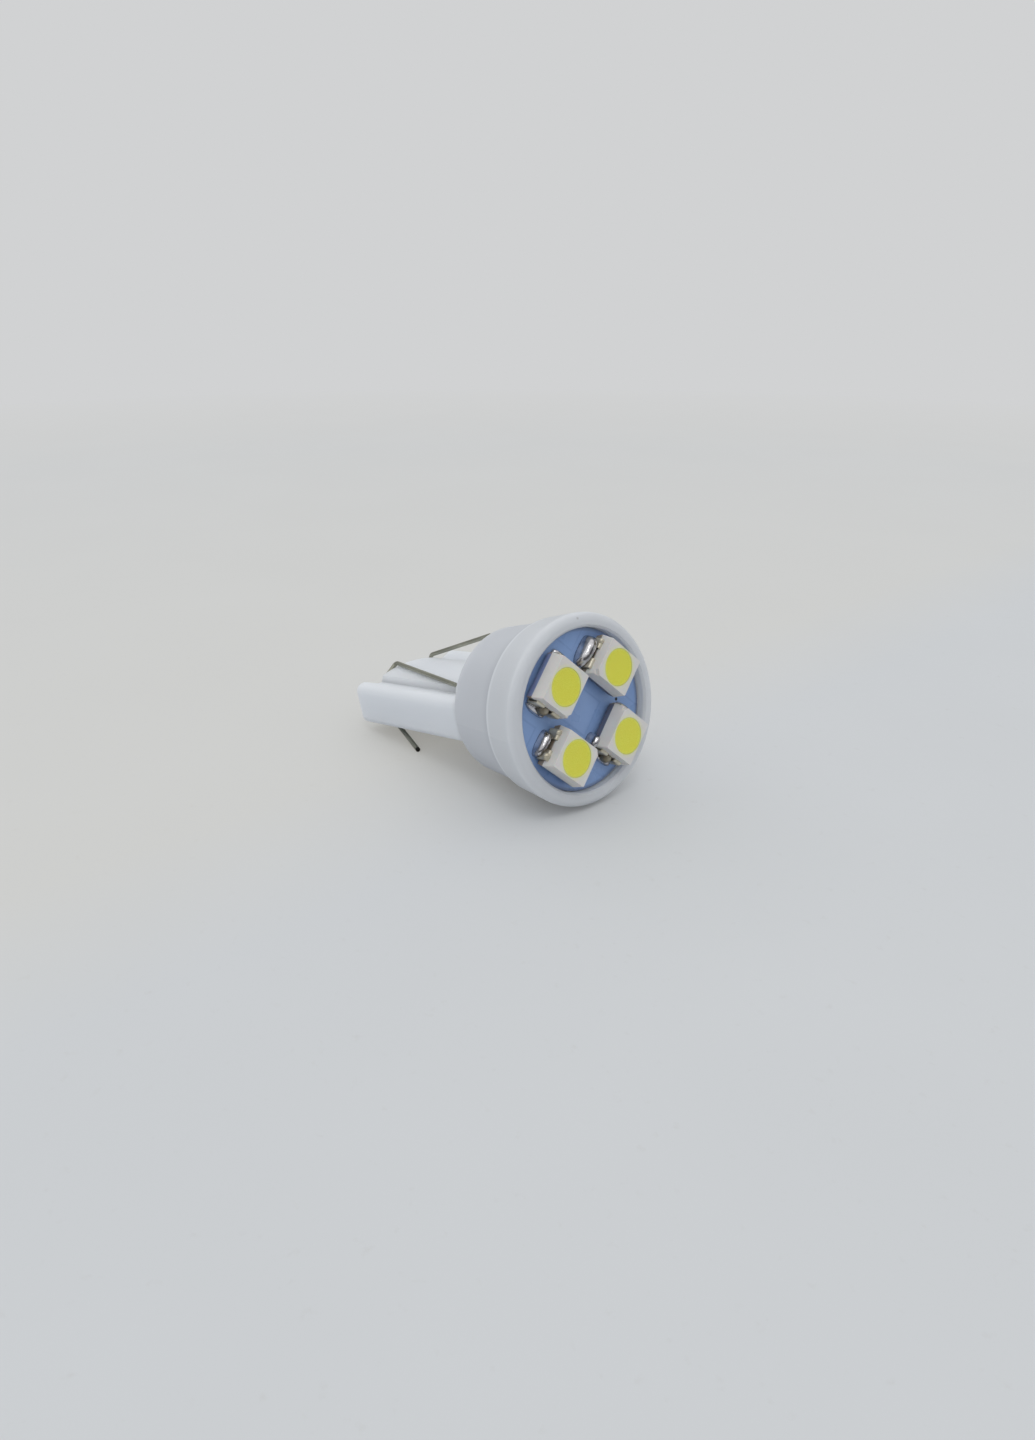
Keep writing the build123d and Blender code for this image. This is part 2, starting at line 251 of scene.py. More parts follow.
def new_material(name):
    """A material with its Principled shader: (material, tree, shader, place in the bulb's axes)."""
    material = bpy.data.materials.new(name)
    material.use_nodes = True
    tree = Tree(material.node_tree)
    shader = material.node_tree.nodes["Principled BSDF"]
    coordinates = tree.add("ShaderNodeTexCoord").outputs["Object"]
    space = tree.add("ShaderNodeGroup", node_tree=BULB_SPACE)
    material.node_tree.links.new(coordinates, space.inputs["Object"])
    return material, tree, shader, space.outputs["Place"]


def grain_of(tree, place, cloud, grain, stretch=(1, 1, 1)):
    """Cloud and grain of the shared group, at the given sizes in mm."""
    node = tree.add("ShaderNodeGroup", node_tree=SURFACE_GRAIN)
    tree.tree.links.new(place, node.inputs["Place"])
    node.inputs["Cloud Size"].default_value = cloud
    node.inputs["Grain Size"].default_value = grain
    node.inputs["Stretch"].default_value = stretch
    return node.outputs["Cloud"], node.outputs["Grain"]


def box_mask(tree, value, low, high, soft=0.03):
    """1 where value lies between low and high, with soft edges."""
    up_edge = tree.ramp(value, low - soft, low + soft)
    down_edge = tree.ramp(value, high - soft, high + soft, 1.0, 0.0)
    return tree.math("MULTIPLY", up_edge, down_edge)


def spot(tree, place, centre, radius, soft):
    """1 at centre and 0 beyond radius, in the bulb's axes."""
    return tree.ramp(tree.distance(place, centre), radius - soft, radius, 1.0, 0.0)


def finish_shader(tree, shader, base, roughness, normal, **fixed):
    """Links what varies over the surface, and sets what doesn't on the shader's own sockets."""
    for label, socket in (("Base Color", base), ("Roughness", roughness), ("Normal", normal)):
        tree.tree.links.new(socket, shader.inputs[label])
    for label, value in fixed.items():
        shader.inputs[label.replace("_", " ")].default_value = value


# %% [markdown]
# ## Moulded base plastic
# The base is one injection moulding in a milky white plastic. It is smooth with a soft gloss, a little
# light goes into it, and the mould leaves slow waves in the gloss. A fine parting line runs down both
# narrow sides. Painted shade makes the cone a little darker than the drum, most of all in the corner
# behind the ridge, a painted highlight lightens the ridge's edge, painted light makes the blade lighter,
# painted shade darkens the rim, and one small speck sits on the rim.

# %% Base plastic
CONE_START, RIDGE, RIM = 12.3, 16.65, 19.55     # heights of the cone's back, the ridge and the rim, mm
SPECK = (-0.51, -5.81, RIM)


def make_base_plastic():
    """Milky white plastic with painted light on the blade, painted shade on the cone and most behind the
    ridge, a painted highlight on the ridge's edge and painted shade at the rim.
    """
    material, tree, shader, place = new_material("base_plastic_moulded")
    cloud, grain = grain_of(tree, place, 3.5, 0.16)
    base = tree.mix(cloud, colour(210, 213, 216), colour(218, 220, 223))
    parts = tree.split(place)
    # painted light: the blade is made lighter, as light falls on it
    blade_painted_light = tree.ramp(parts["Z"], CONE_START - 0.4, CONE_START, 1.0, 0.0)
    base = tree.tint(base, blade_painted_light, 0.72, colour(232, 235, 239))
    # painted shade: the cone is made darker than the drum
    cone_painted_shade = box_mask(tree, parts["Z"], CONE_START + 0.1, RIDGE, 0.06)
    base = tree.tint(base, cone_painted_shade, 0.40, colour(196, 198, 204))
    # painted shade: darker still in the corner behind the ridge
    corner = tree.math("MULTIPLY", cone_painted_shade, tree.ramp(parts["Z"], RIDGE - 1.0, RIDGE - 0.2))
    base = tree.tint(base, corner, 0.35, colour(180, 182, 188))
    # painted highlight: a light line along the ridge's edge
    edge = box_mask(tree, parts["Z"], RIDGE + 0.02, RIDGE + 0.22, 0.08)
    base = tree.tint(base, edge, 0.5, colour(236, 239, 243))
    # painted shade: the rim is made darker
    rim_painted_shade = tree.ramp(parts["Z"], RIM - 0.45, RIM - 0.10)
    base = tree.tint(base, rim_painted_shade, 0.60, colour(188, 190, 193))
    base = tree.tint(base, spot(tree, place, SPECK, 0.13, 0.09), 0.5, colour(120, 112, 104))
    line = tree.ramp(tree.math("ABSOLUTE", parts["Y"]), 0.015, 0.05, 1.0, 0.0)
    height = tree.math("ADD", tree.math("MULTIPLY", grain, 0.10), tree.math("MULTIPLY", line, 0.35))
    normal = tree.bump(height, 0.25, 0.00004)
    roughness = tree.ramp(cloud, 0.3, 0.7, 0.44, 0.54)
    finish_shader(tree, shader, base, roughness, normal, IOR=1.5, Subsurface_Weight=0.7,
                  Subsurface_Scale=0.0018)
    shader.inputs["Subsurface Radius"].default_value = (1.0, 1.0, 1.0)
    return material


PLASTIC = make_base_plastic()
print("made", PLASTIC.name)

# %% [markdown]
# ## Board
# The board is woven glass laminate under a blue solder mask. Copper lies under the mask as raised fields
# that read a little lighter, one in the middle and one round each diode, with darker gaps between them.
# The four diodes stand in a square, so the pattern is drawn once: folding the board's plane into one
# quarter and turning it by 45 degrees gives every diode the same radial and tangential coordinates. Burnt
# flux leaves a small dark speck on the mask, and painted shade darkens the board at its edge, where the
# mouth's wall shades it.


# %% Board with mask and copper fields
def folded(tree, place):
    """The bulb's axes folded into one diode's quarter: the distance out from the axis, the distance along
    the diode's side, and the height."""
    turned = tree.add("ShaderNodeVectorRotate", {"Vector": place, "Angle": -BOARD_TURN},
                      rotation_type="Z_AXIS").outputs[0]
    parts = tree.split(turned)
    x, y = tree.math("ABSOLUTE", parts["X"]), tree.math("ABSOLUTE", parts["Y"])
    radial = tree.math("MULTIPLY", tree.math("ADD", x, y), math.sqrt(0.5))
    along = tree.math("ABSOLUTE", tree.math("MULTIPLY", tree.math("SUBTRACT", y, x), math.sqrt(0.5)))
    return radial, along, parts["Z"]


BOARD_RADIUS = 5.15         # mm
FLUX_SPECK = (-3.2, 0.35, BOARD_FACE)


def make_board():
    """Blue solder mask over copper fields, with the gaps between them pressed in."""
    material, tree, shader, place = new_material("board_solder_mask")
    radial, along, _ = folded(tree, place)
    middle = tree.ramp(radial, 1.10, 1.16, 1.0, 0.0)
    inner_gap = box_mask(tree, radial, 1.20, 1.30, 0.03)
    gaps = tree.math("MAXIMUM", inner_gap, box_mask(tree, along, 2.62, 2.74, 0.02))
    cloud, grain = grain_of(tree, place, 1.2, 0.07)
    weave = tree.add("ShaderNodeTexWave", {"Vector": place, "Scale": 1.1, "Distortion": 1.5, "Detail": 1.0},
                     wave_type="BANDS", bands_direction="DIAGONAL").outputs["Fac"]
    base = tree.mix(cloud, colour(130, 160, 208), colour(142, 171, 216))
    base = tree.tint(base, middle, 0.35, colour(152, 178, 222))
    base = tree.tint(base, gaps, 0.2, colour(100, 126, 176))
    # painted shade: the board is darker at its edge, where the mouth's wall shades it
    from_axis = tree.distance(tree.scaled(place, (1, 1, 0)))
    edge = tree.ramp(from_axis, BOARD_RADIUS - 0.25, BOARD_RADIUS - 0.08)
    base = tree.tint(base, edge, 0.45, colour(98, 92, 96))
    base = tree.mix(spot(tree, place, FLUX_SPECK, 0.14, 0.06), base, colour(24, 26, 34))
    height = tree.math("ADD", tree.math("MULTIPLY", gaps, -0.3), tree.math("MULTIPLY", grain, 0.15))
    height = tree.math("ADD", height, tree.math("MULTIPLY", weave, 0.08))
    normal = tree.bump(height, 0.5, 0.00003)
    roughness = tree.ramp(cloud, 0.3, 0.7, 0.26, 0.34)
    finish_shader(tree, shader, base, roughness, normal, IOR=1.5)
    return material


BOARD = make_board()
print("made", BOARD.name)

# %% [markdown]
# ## Diode packages, resin and metal
# The packages are a matt, slightly warm white moulding. Each end has a hollow between the lead's two
# prongs, painted brown as shade. Below the parting line the walls carry painted shade where they face the
# other diodes and at the ends, and on the outer side painted shade in the board's blue. The resin is clear
# silicone full of yellow phosphor grains, so it looks lemon yellow and finely grained. Leads are tinned and
# a little yellow where the plating wore, with painted brown shade low between their prongs, the solder is
# bright and clouded, and the wires are dull, drawn and darkened by age.


# %% Package, resin and metals
HOLLOW = 0.38                       # half the width of the hollow in a package's end, mm
WIRE_TIP = (4.10, 3.09, 5.60)       # cut end of the lower near wire
RESISTOR_CAPS = 1.10                # where a resistor's end caps begin, mm from its middle


def from_diode(tree, radial, along):
    """Distance from the nearest diode's middle, in the board's plane."""
    out = tree.math("POWER", tree.math("SUBTRACT", radial, DIODE_CIRCLE), 2.0)
    return tree.math("SQRT", tree.math("ADD", out, tree.math("POWER", along, 2.0)))


def make_package():
    """Matt white moulding with a yellow glow round the window, painted shade in the hollows at its ends and
    below the parting line, blue on the outer side.
    """
    material, tree, shader, place = new_material("package_moulded_white")
    cloud, grain = grain_of(tree, place, 0.8, 0.05)
    base = tree.mix(cloud, colour(208, 205, 200), colour(222, 220, 216))
    radial, along, height = folded(tree, place)
    from_middle = from_diode(tree, radial, along)
    near_window = tree.ramp(from_middle, WINDOW_RADIUS - 0.02, WINDOW_RADIUS + 0.25, 1.0, 0.0)
    top = tree.ramp(height, BOARD_FACE + PACKAGE_TOP - 0.12, BOARD_FACE + PACKAGE_TOP - 0.02)
    base = tree.tint(base, tree.math("MULTIPLY", near_window, top), 0.45, colour(226, 226, 150))
    # painted shade: brown in the hollow between the prongs, below the parting line
    between = box_mask(tree, radial, DIODE_CIRCLE - HOLLOW, DIODE_CIRCLE + HOLLOW, 0.05)
    end = tree.ramp(along, HALF_LENGTH - 0.15, HALF_LENGTH - 0.05)
    low = tree.ramp(height, BOARD_FACE + PARTING + 0.05, BOARD_FACE + PARTING + 0.17, 1.0, 0.0)
    hollow_painted_shade = tree.math("MULTIPLY", tree.math("MULTIPLY", between, end), low)
    base = tree.tint(base, hollow_painted_shade, 0.9, colour(112, 98, 80))
    # painted shade below the parting line: dark where the walls face the other diodes, brown at the ends,
    # and the board's blue on the outer side
    outer = tree.ramp(radial, DIODE_CIRCLE + HALF_WIDTH - 0.15, DIODE_CIRCLE + HALF_WIDTH - 0.05)
    foot_painted_shade = tree.mix(outer, colour(62, 72, 104), colour(112, 132, 184))
    foot_painted_shade = tree.mix(end, foot_painted_shade, colour(126, 114, 98))
    foot = tree.ramp(height, BOARD_FACE + PARTING - 0.06, BOARD_FACE + PARTING, 1.0, 0.0)
    base = tree.tint(base, foot, 0.85, foot_painted_shade)
    normal = tree.bump(grain, 0.3, 0.00001)
    roughness = tree.ramp(grain, 0.3, 0.7, 0.48, 0.60)
    finish_shader(tree, shader, base, roughness, normal, IOR=1.5, Subsurface_Weight=0.12,
                  Subsurface_Scale=0.0003)
    return material


def make_resin():
    """Lemon yellow silicone, paler where it creeps up the cup's edge."""
    material, tree, shader, place = new_material("resin_phosphor")
    cloud, grain = grain_of(tree, place, 0.7, 0.05)
    base = tree.mix(tree.ramp(grain, 0.35, 0.65), colour(216, 214, 66), colour(228, 227, 92))
    base = tree.tint(base, cloud, 0.35, colour(220, 212, 62))
    radial, along, _ = folded(tree, place)
    edge = tree.ramp(from_diode(tree, radial, along), WINDOW_RADIUS - 0.15, WINDOW_RADIUS)
    base = tree.tint(base, edge, 0.5, colour(224, 224, 150))
    normal = tree.bump(grain, 0.35, 0.00001)
    roughness = tree.ramp(cloud, 0.3, 0.7, 0.32, 0.42)
    finish_shader(tree, shader, base, roughness, normal, IOR=1.41, Subsurface_Weight=0.15,
                  Subsurface_Scale=0.0003)
    return material


def make_metal(name, dark, light, rough_low, rough_high, cloud_size, grain_size, bump, stretch=(1, 1, 1),
               metallic=1.0, hollow_shaded=False, dark_spot=None):
    """Metal whose colour, gloss and bump follow the same grain: dark and light are its two tones. A
    tarnished one is less metallic, one for leads can take painted shade, brown, low between the prongs,
    and dark_spot is where it is nearly black."""
    material, tree, shader, place = new_material(name)
    cloud, grain = grain_of(tree, place, cloud_size, grain_size, stretch)
    base = tree.mix(tree.ramp(cloud, 0.3, 0.7), dark, light)
    if hollow_shaded:
        # painted shade: brown, low between a lead's prongs
        radial, _, height = folded(tree, place)
        inner = box_mask(tree, radial, DIODE_CIRCLE - 0.70, DIODE_CIRCLE + 0.70, 0.22)
        low = tree.ramp(height, BOARD_FACE + 0.85, BOARD_FACE + 1.05, 1.0, 0.0)
        base = tree.tint(base, tree.math("MULTIPLY", inner, low), 0.75, colour(88, 78, 62))
    if dark_spot is not None:
        base = tree.mix(spot(tree, place, dark_spot, 0.26, 0.08), base, colour(38, 37, 30))
    normal = tree.bump(grain, 0.4, bump)
    roughness = tree.ramp(grain, 0.3, 0.7, rough_low, rough_high)
    finish_shader(tree, shader, base, roughness, normal, Metallic=metallic)
    return material


def make_resistor():
    """Black body with tinned end caps."""
    material, tree, shader, place = new_material("resistor_body")
    from_middle = tree.math("ABSOLUTE", tree.split(place)["X"])
    caps = tree.ramp(from_middle, RESISTOR_CAPS - 0.02, RESISTOR_CAPS + 0.02)
    cloud, grain = grain_of(tree, place, 0.6, 0.08)
    base = tree.mix(caps, tree.mix(cloud, colour(38, 38, 40), colour(52, 52, 56)), colour(186, 186, 184))
    finish_shader(tree, shader, base, tree.ramp(caps, 0, 1, 0.55, 0.3), tree.bump(grain, 0.3, 0.00001))
    return material


PACKAGE = make_package()
RESIN = make_resin()
LEAD = make_metal("lead_tinned", colour(196, 188, 166), colour(216, 210, 192), 0.30, 0.45,
                  cloud_size=0.5, grain_size=0.06, bump=0.00001, metallic=0.6, hollow_shaded=True)
SOLDER = make_metal("solder_bright", colour(168, 167, 170), colour(212, 211, 214), 0.10, 0.20,
                    cloud_size=0.4, grain_size=0.09, bump=0.00002)
WIRE = make_metal("wire_drawn", colour(146, 146, 132), colour(172, 172, 156), 0.36, 0.50,
                  cloud_size=0.6, grain_size=0.10, bump=0.00002, stretch=(1, 1, 0.12), metallic=0.6,
                  dark_spot=WIRE_TIP)
RESISTOR = make_resistor()
print("made", ", ".join(m.name for m in (PACKAGE, RESIN, LEAD, SOLDER, WIRE, RESISTOR)))

# %% [markdown]
# ## Dress the CAD nodes
# Each node keeps its shape and gets the finish that its name calls for.

# %% Assign materials to the nodes
FINISH = (("_package", PACKAGE), ("_window", RESIN), ("_terminal", LEAD), ("_wire", WIRE),
          ("_resistor", RESISTOR), ("circuit_board", BOARD), ("base_housing", PLASTIC))
for name, node in NODES.items():
    finish = SOLDER if "solder" in name else next(m for ending, m in FINISH if name.endswith(ending))
    node.data.materials.clear()
    node.data.materials.append(finish)
print("dressed", len(NODES), "nodes")

# %% [markdown]
# ## Surfaces on grids
# A closed surface is a stack of rings: each ring has the same number of points, neighbouring rings are
# joined by quads, and the first and last ring are closed by a fan to their middle. All points are
# computed at once as arrays.


# %% Closed surfaces from rings
def closed_rings(points):
    """Vertices and faces of a closed surface. points is rings x segments x 3; the ends get a centre point
    each. The sum of the quads' signed volumes tells which way round the rings run, and turns the faces
    outward."""
    rings, segments, _ = points.shape
    around = points - points.mean((0, 1))
    beside = np.roll(around, -1, 1)
    volume = (np.cross(around[:-1], around[1:]) * beside[1:]).sum()
    volume += (np.cross(around[:-1], beside[1:]) * beside[:-1]).sum()
    if volume < 0:
        points = points[:, ::-1]
    r, s = np.meshgrid(np.arange(rings - 1), np.arange(segments), indexing="ij")
    following = (s + 1) % segments
    quads = np.stack([r * segments + s, (r + 1) * segments + s, (r + 1) * segments + following,
                      r * segments + following], -1).reshape(-1, 4)
    top, bottom, count = points[0].mean(0), points[-1].mean(0), rings * segments
    s = np.arange(segments)
    following = (s + 1) % segments
    last = (rings - 1) * segments
    cap_top = np.stack([np.full(segments, count), s, following], -1)
    cap_bottom = np.stack([np.full(segments, count + 1), last + following, last + s], -1)
    vertices = np.concatenate([points.reshape(-1, 3), top[None], bottom[None]])
    return vertices, [quads.tolist(), cap_top.tolist(), cap_bottom.tolist()]


def rounded_square(angle, power):
    """Outline of a square of half side 1 with round corners: x = sign(cos) |cos|^power, y the same of
    sin. Power 1 gives a circle, and a smaller one flatter sides."""
    cosine, sine = np.cos(angle), np.sin(angle)
    return np.sign(cosine) * np.abs(cosine) ** power, np.sign(sine) * np.abs(sine) ** power


def add_piece(name, shells, material, stands_for):
    """One smooth mesh object of one or more closed shells, given in the bulb's axes in mm."""
    vertices, faces, start = [], [], 0
    for shell_vertices, shell_faces in shells:
        vertices.append(to_row(shell_vertices))
        for block in shell_faces:
            faces += (np.array(block) + start).tolist()
        start += len(shell_vertices)
    mesh = bpy.data.meshes.new(name)
    mesh.from_pydata(np.concatenate(vertices).tolist(), [], faces)
    mesh.update()
    mesh.polygons.foreach_set("use_smooth", [True] * len(mesh.polygons))
    mesh.materials.append(material)
    piece = bpy.data.objects.new(name, mesh)
    bpy.context.scene.collection.objects.link(piece)
    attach(piece, "root")
    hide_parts(stands_for)


# %% [markdown]
# ## Resin in the packages
# The yellow silicone is dosed into the package's cup as a drop. It wets the wall, so its surface stands
# highest at the edge and sags a little in the middle, and no two drops are alike.


# %% Resin fillings
CUP_FLOOR_RADIUS, CUP_DEPTH = 0.95, 0.70    # mm
RESIN_BELOW = 0.015                         # how far the resin's edge lies below the package's face, mm

# sag and the two tilts of the resin in diodes 1 to 4, mm
RESIN_SURFACES = [(0.05, 0.006, 0.004), (0.045, -0.005, 0.006),
                  (0.055, 0.004, -0.006), (0.05, -0.006, -0.003)]


def resin_shell(sag, tilt_x, tilt_y):
    """Filling of the cup: z = top - sag (1 - r^2) + tilt, then down the tapered wall to the floor."""
    angle = np.linspace(0, 2 * np.pi, 72, endpoint=False)
    top = PACKAGE_TOP - RESIN_BELOW
    share = np.linspace(0.08, 1, 14)
    wall = np.linspace(0.2, 1, 4)
    floor = np.array([0.6, 0.1])
    taper = CUP_FLOOR_RADIUS - WINDOW_RADIUS
    radius = np.concatenate([WINDOW_RADIUS * share, WINDOW_RADIUS + taper * wall, CUP_FLOOR_RADIUS * floor])
    height = np.concatenate([top - sag * (1 - share ** 2), top - CUP_DEPTH * wall,
                             np.full(len(floor), top - CUP_DEPTH)])
    leaning = np.concatenate([share, np.zeros(len(wall) + len(floor))])
    x = radius[:, None] * np.cos(angle)
    y = radius[:, None] * np.sin(angle)
    z = height[:, None] + leaning[:, None] * (tilt_x * np.cos(angle) + tilt_y * np.sin(angle))
    return closed_rings(np.stack([x, y, np.minimum(z, PACKAGE_TOP)], -1))


for number, surface in enumerate(RESIN_SURFACES, 1):
    vertices, faces = resin_shell(*surface)
    add_piece(f"led_{number}_resin", [(diode_points(number, vertices), faces)], RESIN,
              f"led_{number}_window")
print("four resin fillings")

# %% [markdown]
# ## Solder at the leads
# Hand soldering leaves a different drop at every lead. Each is a mound with a rounded footprint that
# leans on the lead's outer face: its height falls off as the square root of one minus the cubed distance,
# which gives a round drop, and a slow wave makes it uneven. Beside diode 3 some solder has run out along
# the package's inner side.


# %% Solder drops
def mound(length, width, height, shift, wave, phase):
    """Drop against a lead's face at x = 0, x outwards. rho is 0 at the top and 1 at the foot, and the
    footprint is a rounded rectangle 2 length by width, shifted by shift in y: z = height (1 - rho^3)^0.5
    (1 + wave sin)."""
    angle = np.linspace(0, 2 * np.pi, 64, endpoint=False)
    rho = np.sin(np.linspace(0.06, 1, 20) * np.pi / 2)[:, None]
    foot = 1 + 0.05 * np.sin(2 * angle + phase) + 0.04 * np.sin(3 * angle + 2 * phase)
    square_x, square_y = rounded_square(angle, 0.7)
    uneven = 1 + wave * np.sin(2 * angle + phase) * rho ** 2
    x = length * rho * square_x * foot
    y = shift + width / 2 * rho * square_y * foot
    z = height * (1 - rho ** 3) ** 0.5 * uneven
    return np.stack([np.maximum(x, 0.0), y, z], -1)


def ball(x, y, z, radius, squash):
    """Small frozen ball around (x, y, z): a sphere whose height is scaled by squash."""
    angle = np.linspace(0, 2 * np.pi, 32, endpoint=False)
    polar = np.linspace(0.12, np.pi - 0.12, 17)[:, None]
    return np.stack([x + radius * np.sin(polar) * np.cos(angle), y + radius * np.sin(polar) * np.sin(angle),
                     z + radius * squash * np.cos(polar) * np.ones_like(angle)], -1)


# diode, side of its lead, then length, width, height, shift, wave and phase of the drop
DROPS = [
    (1, 1, 0.32, 1.80, 0.36, -0.15, 0.10, 0.6),
    (1, -1, 0.36, 1.80, 0.40, -0.10, 0.08, 2.1),
    (2, 1, 0.58, 2.45, 0.90, 0.05, 0.08, 1.2),
    (2, -1, 0.36, 1.75, 0.42, -0.10, 0.08, 4.0),
    (3, 1, 0.36, 1.75, 0.40, -0.12, 0.09, 3.1),
    (3, -1, 0.32, 1.75, 0.34, -0.10, 0.12, 5.2),
    (4, 1, 0.36, 1.70, 0.42, -0.08, 0.08, 0.2),
    (4, -1, 0.46, 1.85, 0.70, -0.08, 0.08, 2.8),
]
# the same values for the solder that has run out beside diode 3, and where it lies in that diode's axes
SPILL = (0.38, 1.15, 0.88, 0.0, 0.03, 1.0)
SPILL_PLACE = (-1.28, 1.37, 0.0)
SIDE_NAME = {1: "left", -1: "right"}


def placed_shell(number, side, points):
    """A shell beside the lead's outer face, on diode 1 to 4, at its side 1 or -1."""
    points = (points + np.array([LEG_FACE, 0, 0])) * np.array([side, 1, 1])
    vertices, faces = closed_rings(points)
    return diode_points(number, vertices), faces


for number, side, *drop in DROPS:
    shells = [placed_shell(number, side, mound(*drop))]
    if (number, side) == (3, -1):
        vertices, faces = closed_rings(mound(*SPILL)[..., [1, 0, 2]] + SPILL_PLACE)
        shells.append((diode_points(number, vertices), faces))
    name = f"led_{number}_{SIDE_NAME[side]}"
    add_piece(name + "_drop", shells, SOLDER, name + "_solder")
print("eight solder drops")

# %% [markdown]
# ## Leads
# Each lead is a stamped strip with two prongs. It leaves the package's end above the parting line, bends
# down over the end and turns in under the package. A flat bar with rounded edges is carried along that
# path. On diodes 2 and 4 small beads of tin have frozen on the shoulders, and on diodes 1 and 3 a lump
# between the prongs fills the hollow and carries the lead's painted brown shade.


# %% Bent leads
def rounded_path(points, reach, steps=7):
    """Points of a polyline whose corners are quadratic curves, starting and ending at reach from the
    corner: (1-t)^2 start + 2 t (1-t) corner + t^2 end."""
    points = np.asarray(points, float)
    t = np.linspace(0, 1, steps)[:, None]
    runs = [points[:1]]
    for before, corner, after in zip(points[:-2], points[1:-1], points[2:]):
        start = corner + (before - corner) * reach / np.linalg.norm(before - corner)
        end = corner + (after - corner) * reach / np.linalg.norm(after - corner)
        runs.append((1 - t) ** 2 * start + 2 * t * (1 - t) * corner + t ** 2 * end)
    return np.concatenate(runs + [points[-1:]])


PRONG_WIDTH, PRONG_THICKNESS = 0.70, 0.14       # mm
PRONG_OFFSET = 0.70             # from the lead's middle to a prong's middle, mm
LEAD_BEND = 0.11                # how far from a corner the lead starts to bend, mm
# the middle of a lead's thickness, outwards from its outer face and up from the board, mm
LEAD_PATH = [(-0.37, 0.98), (-0.08, 0.98), (-0.08, 0.12), (-0.70, 0.12)]

# diode and side: outwards from the lead's face, along the package, height, radius and squash of each
# a lump in the hollow between the prongs, brown with painted shade
HOLLOW_SHADE_LUMP = (-0.06, 0.0, 0.52, 0.36, 1.2)
BEADS = {(4, -1): [(-0.07, 0.84, 0.98, 0.19, 0.9), (-0.03, -0.80, 0.92, 0.24, 0.9)],
         (2, 1): [(-0.08, -0.86, 0.98, 0.17, 0.9)], (1, 1): [HOLLOW_SHADE_LUMP], (3, -1): [HOLLOW_SHADE_LUMP]}


def prong(middle):
    """Flat bar along the lead's path in the diode's XZ plane, with its middle at y = middle. Each ring is
    a rounded square whose width runs along Y and whose thickness runs along the path's normal."""
    path = rounded_path(LEAD_PATH, LEAD_BEND)
    run = np.gradient(path, axis=0)
    normal = np.stack([-run[:, 1], run[:, 0]], -1) / np.linalg.norm(run, axis=1)[:, None]
    across, through = rounded_square(np.linspace(0, 2 * np.pi, 24, endpoint=False), 0.35)
    x = path[:, :1] + normal[:, :1] * PRONG_THICKNESS / 2 * through
    z = path[:, 1:] + normal[:, 1:] * PRONG_THICKNESS / 2 * through
    return np.stack([x, np.broadcast_to(middle + PRONG_WIDTH / 2 * across, x.shape), z], -1)


for number in (1, 2, 3, 4):
    for side in (1, -1):
        shells = [placed_shell(number, side, prong(middle)) for middle in (-PRONG_OFFSET, PRONG_OFFSET)]
        shells += [placed_shell(number, side, ball(*bead)) for bead in BEADS.get((number, side), [])]
        name = f"led_{number}_{SIDE_NAME[side]}"
        add_piece(name + "_lead", shells, LEAD, name + "_terminal")
print("eight bent leads")

# %% [markdown]
# ## Floor and light
# The bulb lies on a sheet of pale paper, which far away takes the plain colour of the background, so that
# no horizon shows. A plain share near the blade stands for the light that comes through the milky plastic
# and thins its shadow. Nearly all the light is an even pale sky, as the faint shadows show, and a lamp
# above the diodes' side adds the rest. Metal mirrors its surroundings, so the sky that reflections see is
# bright overhead and dark near the horizon, as a room is.


# %% Paper floor
BACKGROUND = colour(209, 210, 211)
WARM_PAINTED_LIGHT = colour(212, 209, 200)
FLOOR_RADIUS = 3.0              # m


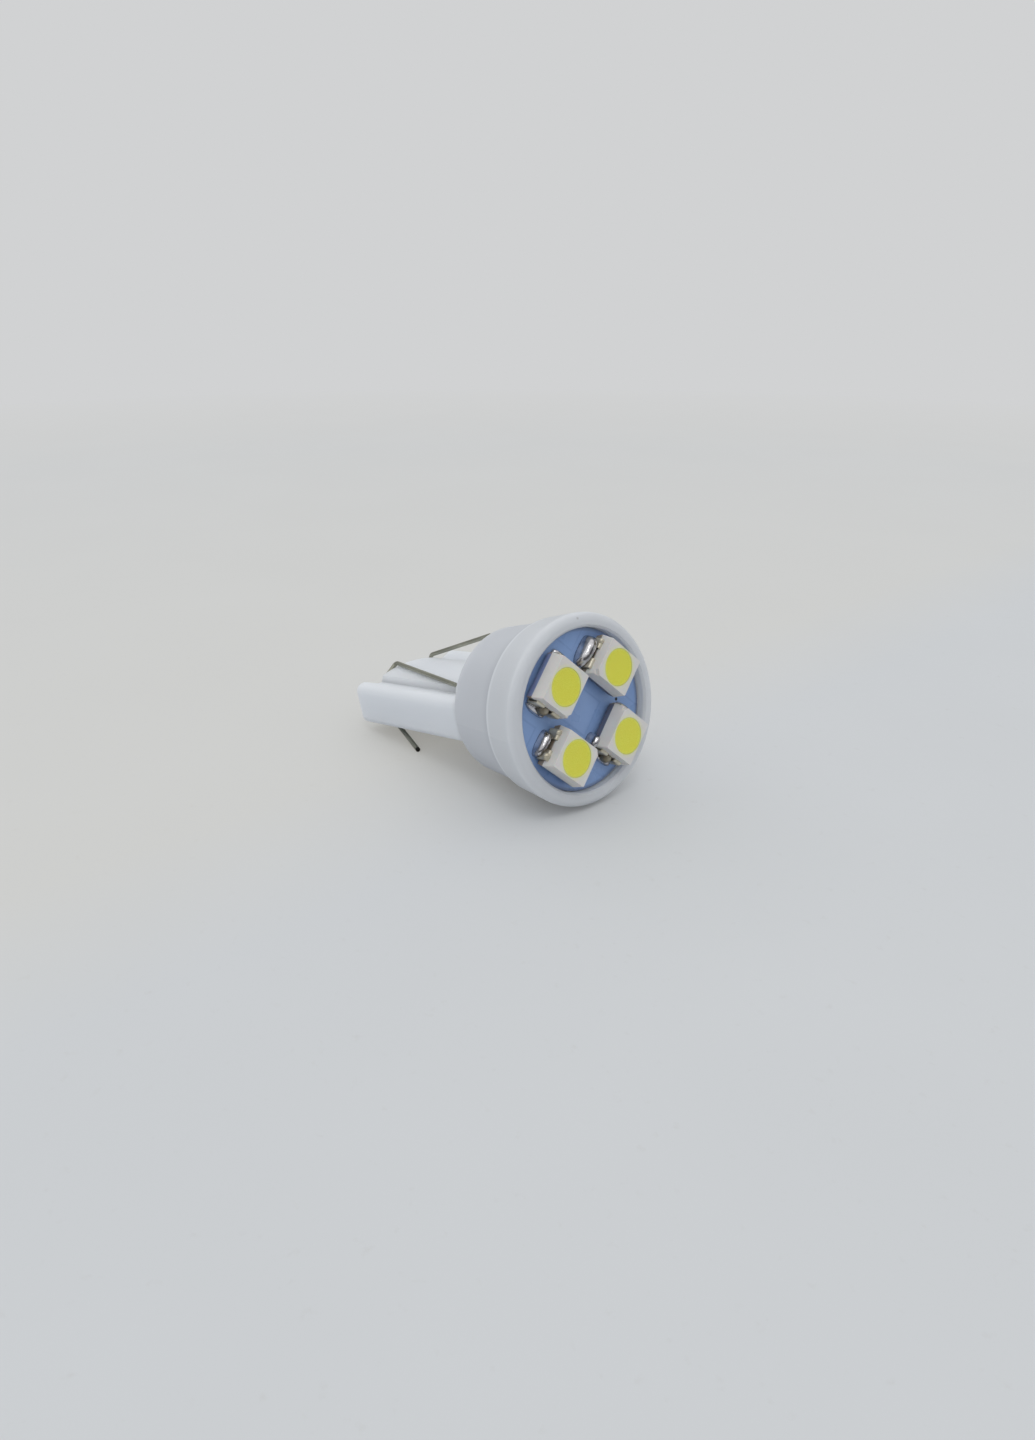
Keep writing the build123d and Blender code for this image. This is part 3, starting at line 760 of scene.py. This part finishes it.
def make_paper():
    """Pale paper with fibres. plain_share is how much of it a camera ray sees as plain colour."""
    material = bpy.data.materials.new("paper")
    material.use_nodes = True
    tree = Tree(material.node_tree)
    shader = material.node_tree.nodes["Principled BSDF"]
    place = tree.scaled(tree.add("ShaderNodeTexCoord").outputs["Object"], (1 / MM,) * 3)
    cloud = tree.noise(place, 0.05, 3.0)
    fibre = tree.noise(place, 1.2, 6.0, 0.6)
    base = tree.mix(cloud, colour(208, 210, 212), colour(213, 215, 217))
    base = tree.mix(tree.ramp(fibre, 0.62, 0.74, 0.0, 0.25), base, colour(193, 192, 190))
    distance = tree.distance(place)
    rays = tree.add("ShaderNodeLightPath").outputs
    dim = tree.math("MULTIPLY", tree.ramp(distance, 30.0, 120.0), rays["Is Glossy Ray"])
    base = tree.mix(dim, base, colour(70, 70, 70))
    roughness = tree.ramp(fibre, 0.3, 0.7, 0.85, 0.95)
    finish_shader(tree, shader, base, roughness, tree.bump(fibre, 0.15, 0.00003))
    shader.inputs["Specular IOR Level"].default_value = 0.15
    # painted light: near the blade and cone a warm plain share thins and warms their shadow
    near_share = tree.ramp(tree.split(place)["X"], -4.0, 9.0, 0.42, 0.08)
    plain_share = tree.math("MAXIMUM", near_share, tree.ramp(distance, 60.0, 260.0))
    plain_share = tree.math("MULTIPLY", plain_share, rays["Is Camera Ray"])
    tone = tree.mix(tree.ramp(distance, 30.0, 260.0), WARM_PAINTED_LIGHT, BACKGROUND)
    plain = tree.add("ShaderNodeEmission", {"Color": tone}).outputs[0]
    both = tree.add("ShaderNodeMixShader", {0: plain_share, 1: shader.outputs[0], 2: plain}).outputs[0]
    tree.tree.links.new(both, material.node_tree.nodes["Material Output"].inputs["Surface"])
    return material


angle = np.linspace(0, 2 * np.pi, 96, endpoint=False)
ring = FLOOR_RADIUS * np.stack([np.cos(angle), np.sin(angle), np.zeros_like(angle)], -1)
floor_mesh = bpy.data.meshes.new("paper_floor")
floor_mesh.from_pydata(ring.tolist(), [], [list(range(len(ring)))])
floor_mesh.materials.append(make_paper())
floor = bpy.data.objects.new("paper_floor", floor_mesh)
bpy.context.scene.collection.objects.link(floor)
print("paper floor", 2 * FLOOR_RADIUS, "m across")


# %% Lamp and sky
def soft_lamp(name, place, size, power, tint):
    """Square area lamp that looks at the bulb; place is in metres from the origin."""
    data = bpy.data.lights.new(name, "AREA")
    data.size = size
    data.energy = power
    data.color = tint
    lamp = bpy.data.objects.new(name, data)
    lamp.location = Vector(place)
    lamp.rotation_mode = "QUATERNION"
    lamp.rotation_quaternion = (-Vector(place)).to_track_quat("-Z", "Y")
    bpy.context.scene.collection.objects.link(lamp)


soft_lamp("window_lamp", place=(0.33, -0.28, 0.82), size=0.28, power=0.80, tint=(0.99, 0.995, 1.0))

world = bpy.data.worlds.new("soft_sky")
world.use_nodes = True
bpy.context.scene.world = world
sky = Tree(world.node_tree)
background = world.node_tree.nodes["Background"]
direction = sky.split(sky.add("ShaderNodeTexCoord").outputs["Generated"])
side, height = direction["Y"], direction["Z"]
rays = sky.add("ShaderNodeLightPath").outputs
tone = sky.mix(sky.ramp(height, 0.0, 0.7), colour(186, 189, 194), colour(251, 253, 255))
tone = sky.mix(sky.ramp(side, -1.0, 0.6, 0.22, 0.0), tone, colour(120, 124, 130))
mirrored = sky.mix(sky.ramp(height, 0.35, 0.60), colour(100, 100, 102), colour(255, 255, 255))
tone = sky.mix(rays["Is Glossy Ray"], tone, mirrored)
tone = sky.mix(rays["Is Camera Ray"], tone, BACKGROUND)
world.node_tree.links.new(tone, background.inputs["Color"])
background.inputs["Strength"].default_value = 1.0
print("one soft lamp and a pale sky")
